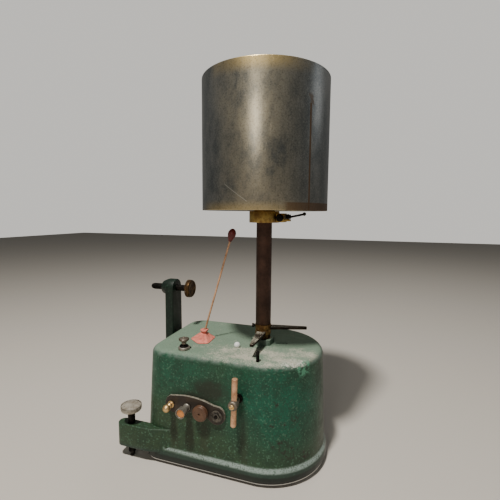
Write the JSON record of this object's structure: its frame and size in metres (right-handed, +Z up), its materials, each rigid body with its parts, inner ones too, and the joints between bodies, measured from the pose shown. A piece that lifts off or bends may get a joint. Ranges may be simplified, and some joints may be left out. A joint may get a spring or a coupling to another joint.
{
  "type": "kymograph",
  "caption": "Motor-driven recording drum on a green cast case, with striker arms over a trip pin, front terminals, a brake handle and a levelling screw.",
  "frame": {"origin": "on the bench, under the middle of the bounding box of the whole instrument", "axes": "+Z up along the spindle; -Y towards the front wall with the terminals; +X towards the case's half-round end"},
  "size_m": [0.2642, 0.1686, 0.464],
  "materials": {
    "green_enamel": "dark green crackle enamel, worn and oily",
    "black_paint": "black paint",
    "dark_steel": "dark oxidised steel",
    "bright_steel": "turned steel",
    "dull_brass": "dull brass",
    "brown_bronze": "brown tarnished bronze",
    "copper_tan": "copper-coloured tarnish",
    "worn_nickel": "worn nickel plate with brass showing",
    "rusty_steel": "rusted steel tube",
    "ebonite": "black ebonite, dusty",
    "bakelite": "brown bakelite",
    "red_rubber": "perished red rubber",
    "red_plastic": "dark red plastic",
    "white_plastic": "glossy white plastic",
    "black_rubber": "black rubber"
  },
  "bodies": {
    "case": {"case_casting": "green_enamel", "base_plate": "black_paint", "right_foot": "black_rubber", "back_foot": "black_rubber", "side_arm": "green_enamel", "lower_arm_bolt": "dark_steel", "upper_arm_bolt": "dark_steel", "terminal_plate": "ebonite", "terminal_stud_1": "dull_brass", "terminal_stud_2": "dull_brass", "terminal_stud_3": "dull_brass", "terminal_stud_4": "dull_brass", "terminal_nut_4": "dark_steel", "top_terminal_base": "dark_steel", "brake_gland": "dark_steel", "lever_boot": "red_rubber", "lever_bracket": "dark_steel", "lever_pin": "bright_steel", "oil_plug": "white_plastic", "contact_block": "ebonite", "contact_blade": "dull_brass", "upper_bearing": "dull_brass", "footstep_bearing": "dull_brass", "lay_bearing": "dull_brass", "motor_body": "black_paint", "gear_frame": "bright_steel"},
    "spindle": {"spindle": "bright_steel", "carrier_tube": "rusty_steel", "thrust_washer": "brown_bronze", "brake_collar": "bright_steel", "spindle_wheel": "dull_brass"},
    "lay": {"lay_shaft": "bright_steel", "lay_wheel": "dull_brass"},
    "rotor": {"motor_shaft": "bright_steel"},
    "upper_striker": {"upper_striker_collar": "dull_brass", "upper_striker_arm": "dark_steel", "upper_striker_screw": "dark_steel"},
    "lower_striker": {"lower_striker_collar": "dull_brass", "lower_striker_arm": "dark_steel", "lower_striker_screw": "dark_steel"},
    "drum": {"drum_shell": "worn_nickel", "drum_disc_lower": "dull_brass", "drum_disc_upper": "dull_brass", "drum_hub": "dull_brass"},
    "clamp_screw": {"drum_clamp_screw": "black_paint"},
    "clamp_handle": {"clamp_lever": "black_paint"},
    "leveller": {"levelling_screw": "brown_bronze"},
    "side_thumb": {"side_screw": "brown_bronze"},
    "brake": {"brake_shaft": "dark_steel", "brake_pad": "dull_brass", "brake_handle": "copper_tan", "handle_screw": "dull_brass"},
    "lever": {"lever_rod": "copper_tan", "lever_knob": "red_plastic"},
    "pin": {"trip_pin": "dark_steel"},
    "knob_1": {"terminal_knob_1": "dull_brass"},
    "knob_2": {"terminal_knob_2": "copper_tan"},
    "knob_3": {"terminal_knob_3": "bakelite"},
    "top_knob": {"top_terminal_knob": "brown_bronze"}
  },
  "joints": [
    {"name": "spindle_spin", "type": "hinge", "parent": "case", "child": "spindle", "pos_m": [0.04891, 0.0081, 0.069], "axis": [0, 0, 1], "continuous": true},
    {"name": "lay_spin", "type": "hinge", "parent": "case", "child": "lay", "pos_m": [0.00691, 0.0081, 0.088], "axis": [0, 0, 1], "continuous": true},
    {"name": "motor_spin", "type": "hinge", "parent": "case", "child": "rotor", "pos_m": [-0.02809, 0.0081, 0.088], "axis": [0, 0, 1], "continuous": true},
    {"name": "drum_height", "type": "slide", "parent": "spindle", "child": "drum", "axis": [0, 0, 1], "range_m": [-0.015, 0.12]},
    {"name": "upper_striker_swing", "type": "hinge", "parent": "spindle", "child": "upper_striker", "pos_m": [0.04891, 0.0081, 0.162], "axis": [0, 0, 1], "range_deg": [-180, 180]},
    {"name": "lower_striker_swing", "type": "hinge", "parent": "spindle", "child": "lower_striker", "pos_m": [0.04891, 0.0081, 0.156], "axis": [0, 0, 1], "range_deg": [-180, 180]},
    {"name": "clamp_screw_travel", "type": "slide", "parent": "drum", "child": "clamp_screw", "axis": [0, -1, 0], "range_m": [0, 0.003]},
    {"name": "clamp_handle_swing", "type": "hinge", "parent": "drum", "child": "clamp_handle", "pos_m": [0.07991, 0.0037, 0.302], "axis": [0, 0, 1], "range_deg": [-35, 35]},
    {"name": "levelling_travel", "type": "slide", "parent": "case", "child": "leveller", "axis": [0, 0, 1], "range_m": [-0.012, 0.012]},
    {"name": "side_screw_travel", "type": "slide", "parent": "case", "child": "side_thumb", "axis": [-1, 0, 0], "range_m": [-0.012, 0.012]},
    {"name": "brake_turn", "type": "hinge", "parent": "case", "child": "brake", "pos_m": [0.04091, -0.0759, 0.1], "axis": [0, 1, 0], "range_deg": [-90, 90]},
    {"name": "lever_tilt", "type": "hinge", "parent": "case", "child": "lever", "pos_m": [-0.03369, -0.0059, 0.128], "axis": [0, -1, 0], "range_deg": [0, 30]},
    {"name": "trip_pin_press", "type": "slide", "parent": "case", "child": "pin", "axis": [0, 0, -1], "range_m": [0, 0.003], "stiffness_N_per_m": 300},
    {"name": "terminal_1_travel", "type": "slide", "parent": "case", "child": "knob_1", "axis": [0, -1, 0], "range_m": [0, 0.004]},
    {"name": "terminal_2_travel", "type": "slide", "parent": "case", "child": "knob_2", "axis": [0, -1, 0], "range_m": [0, 0.004]},
    {"name": "terminal_3_travel", "type": "slide", "parent": "case", "child": "knob_3", "axis": [0, -1, 0], "range_m": [0, 0.004]},
    {"name": "top_terminal_travel", "type": "slide", "parent": "case", "child": "top_knob", "axis": [0, 0, 1], "range_m": [0, 0.004]}
  ],
  "couplings": [
    {"joint": "lay_spin", "follows": "spindle_spin", "ratio": -5},
    {"joint": "motor_spin", "follows": "spindle_spin", "ratio": 20}
  ]
}
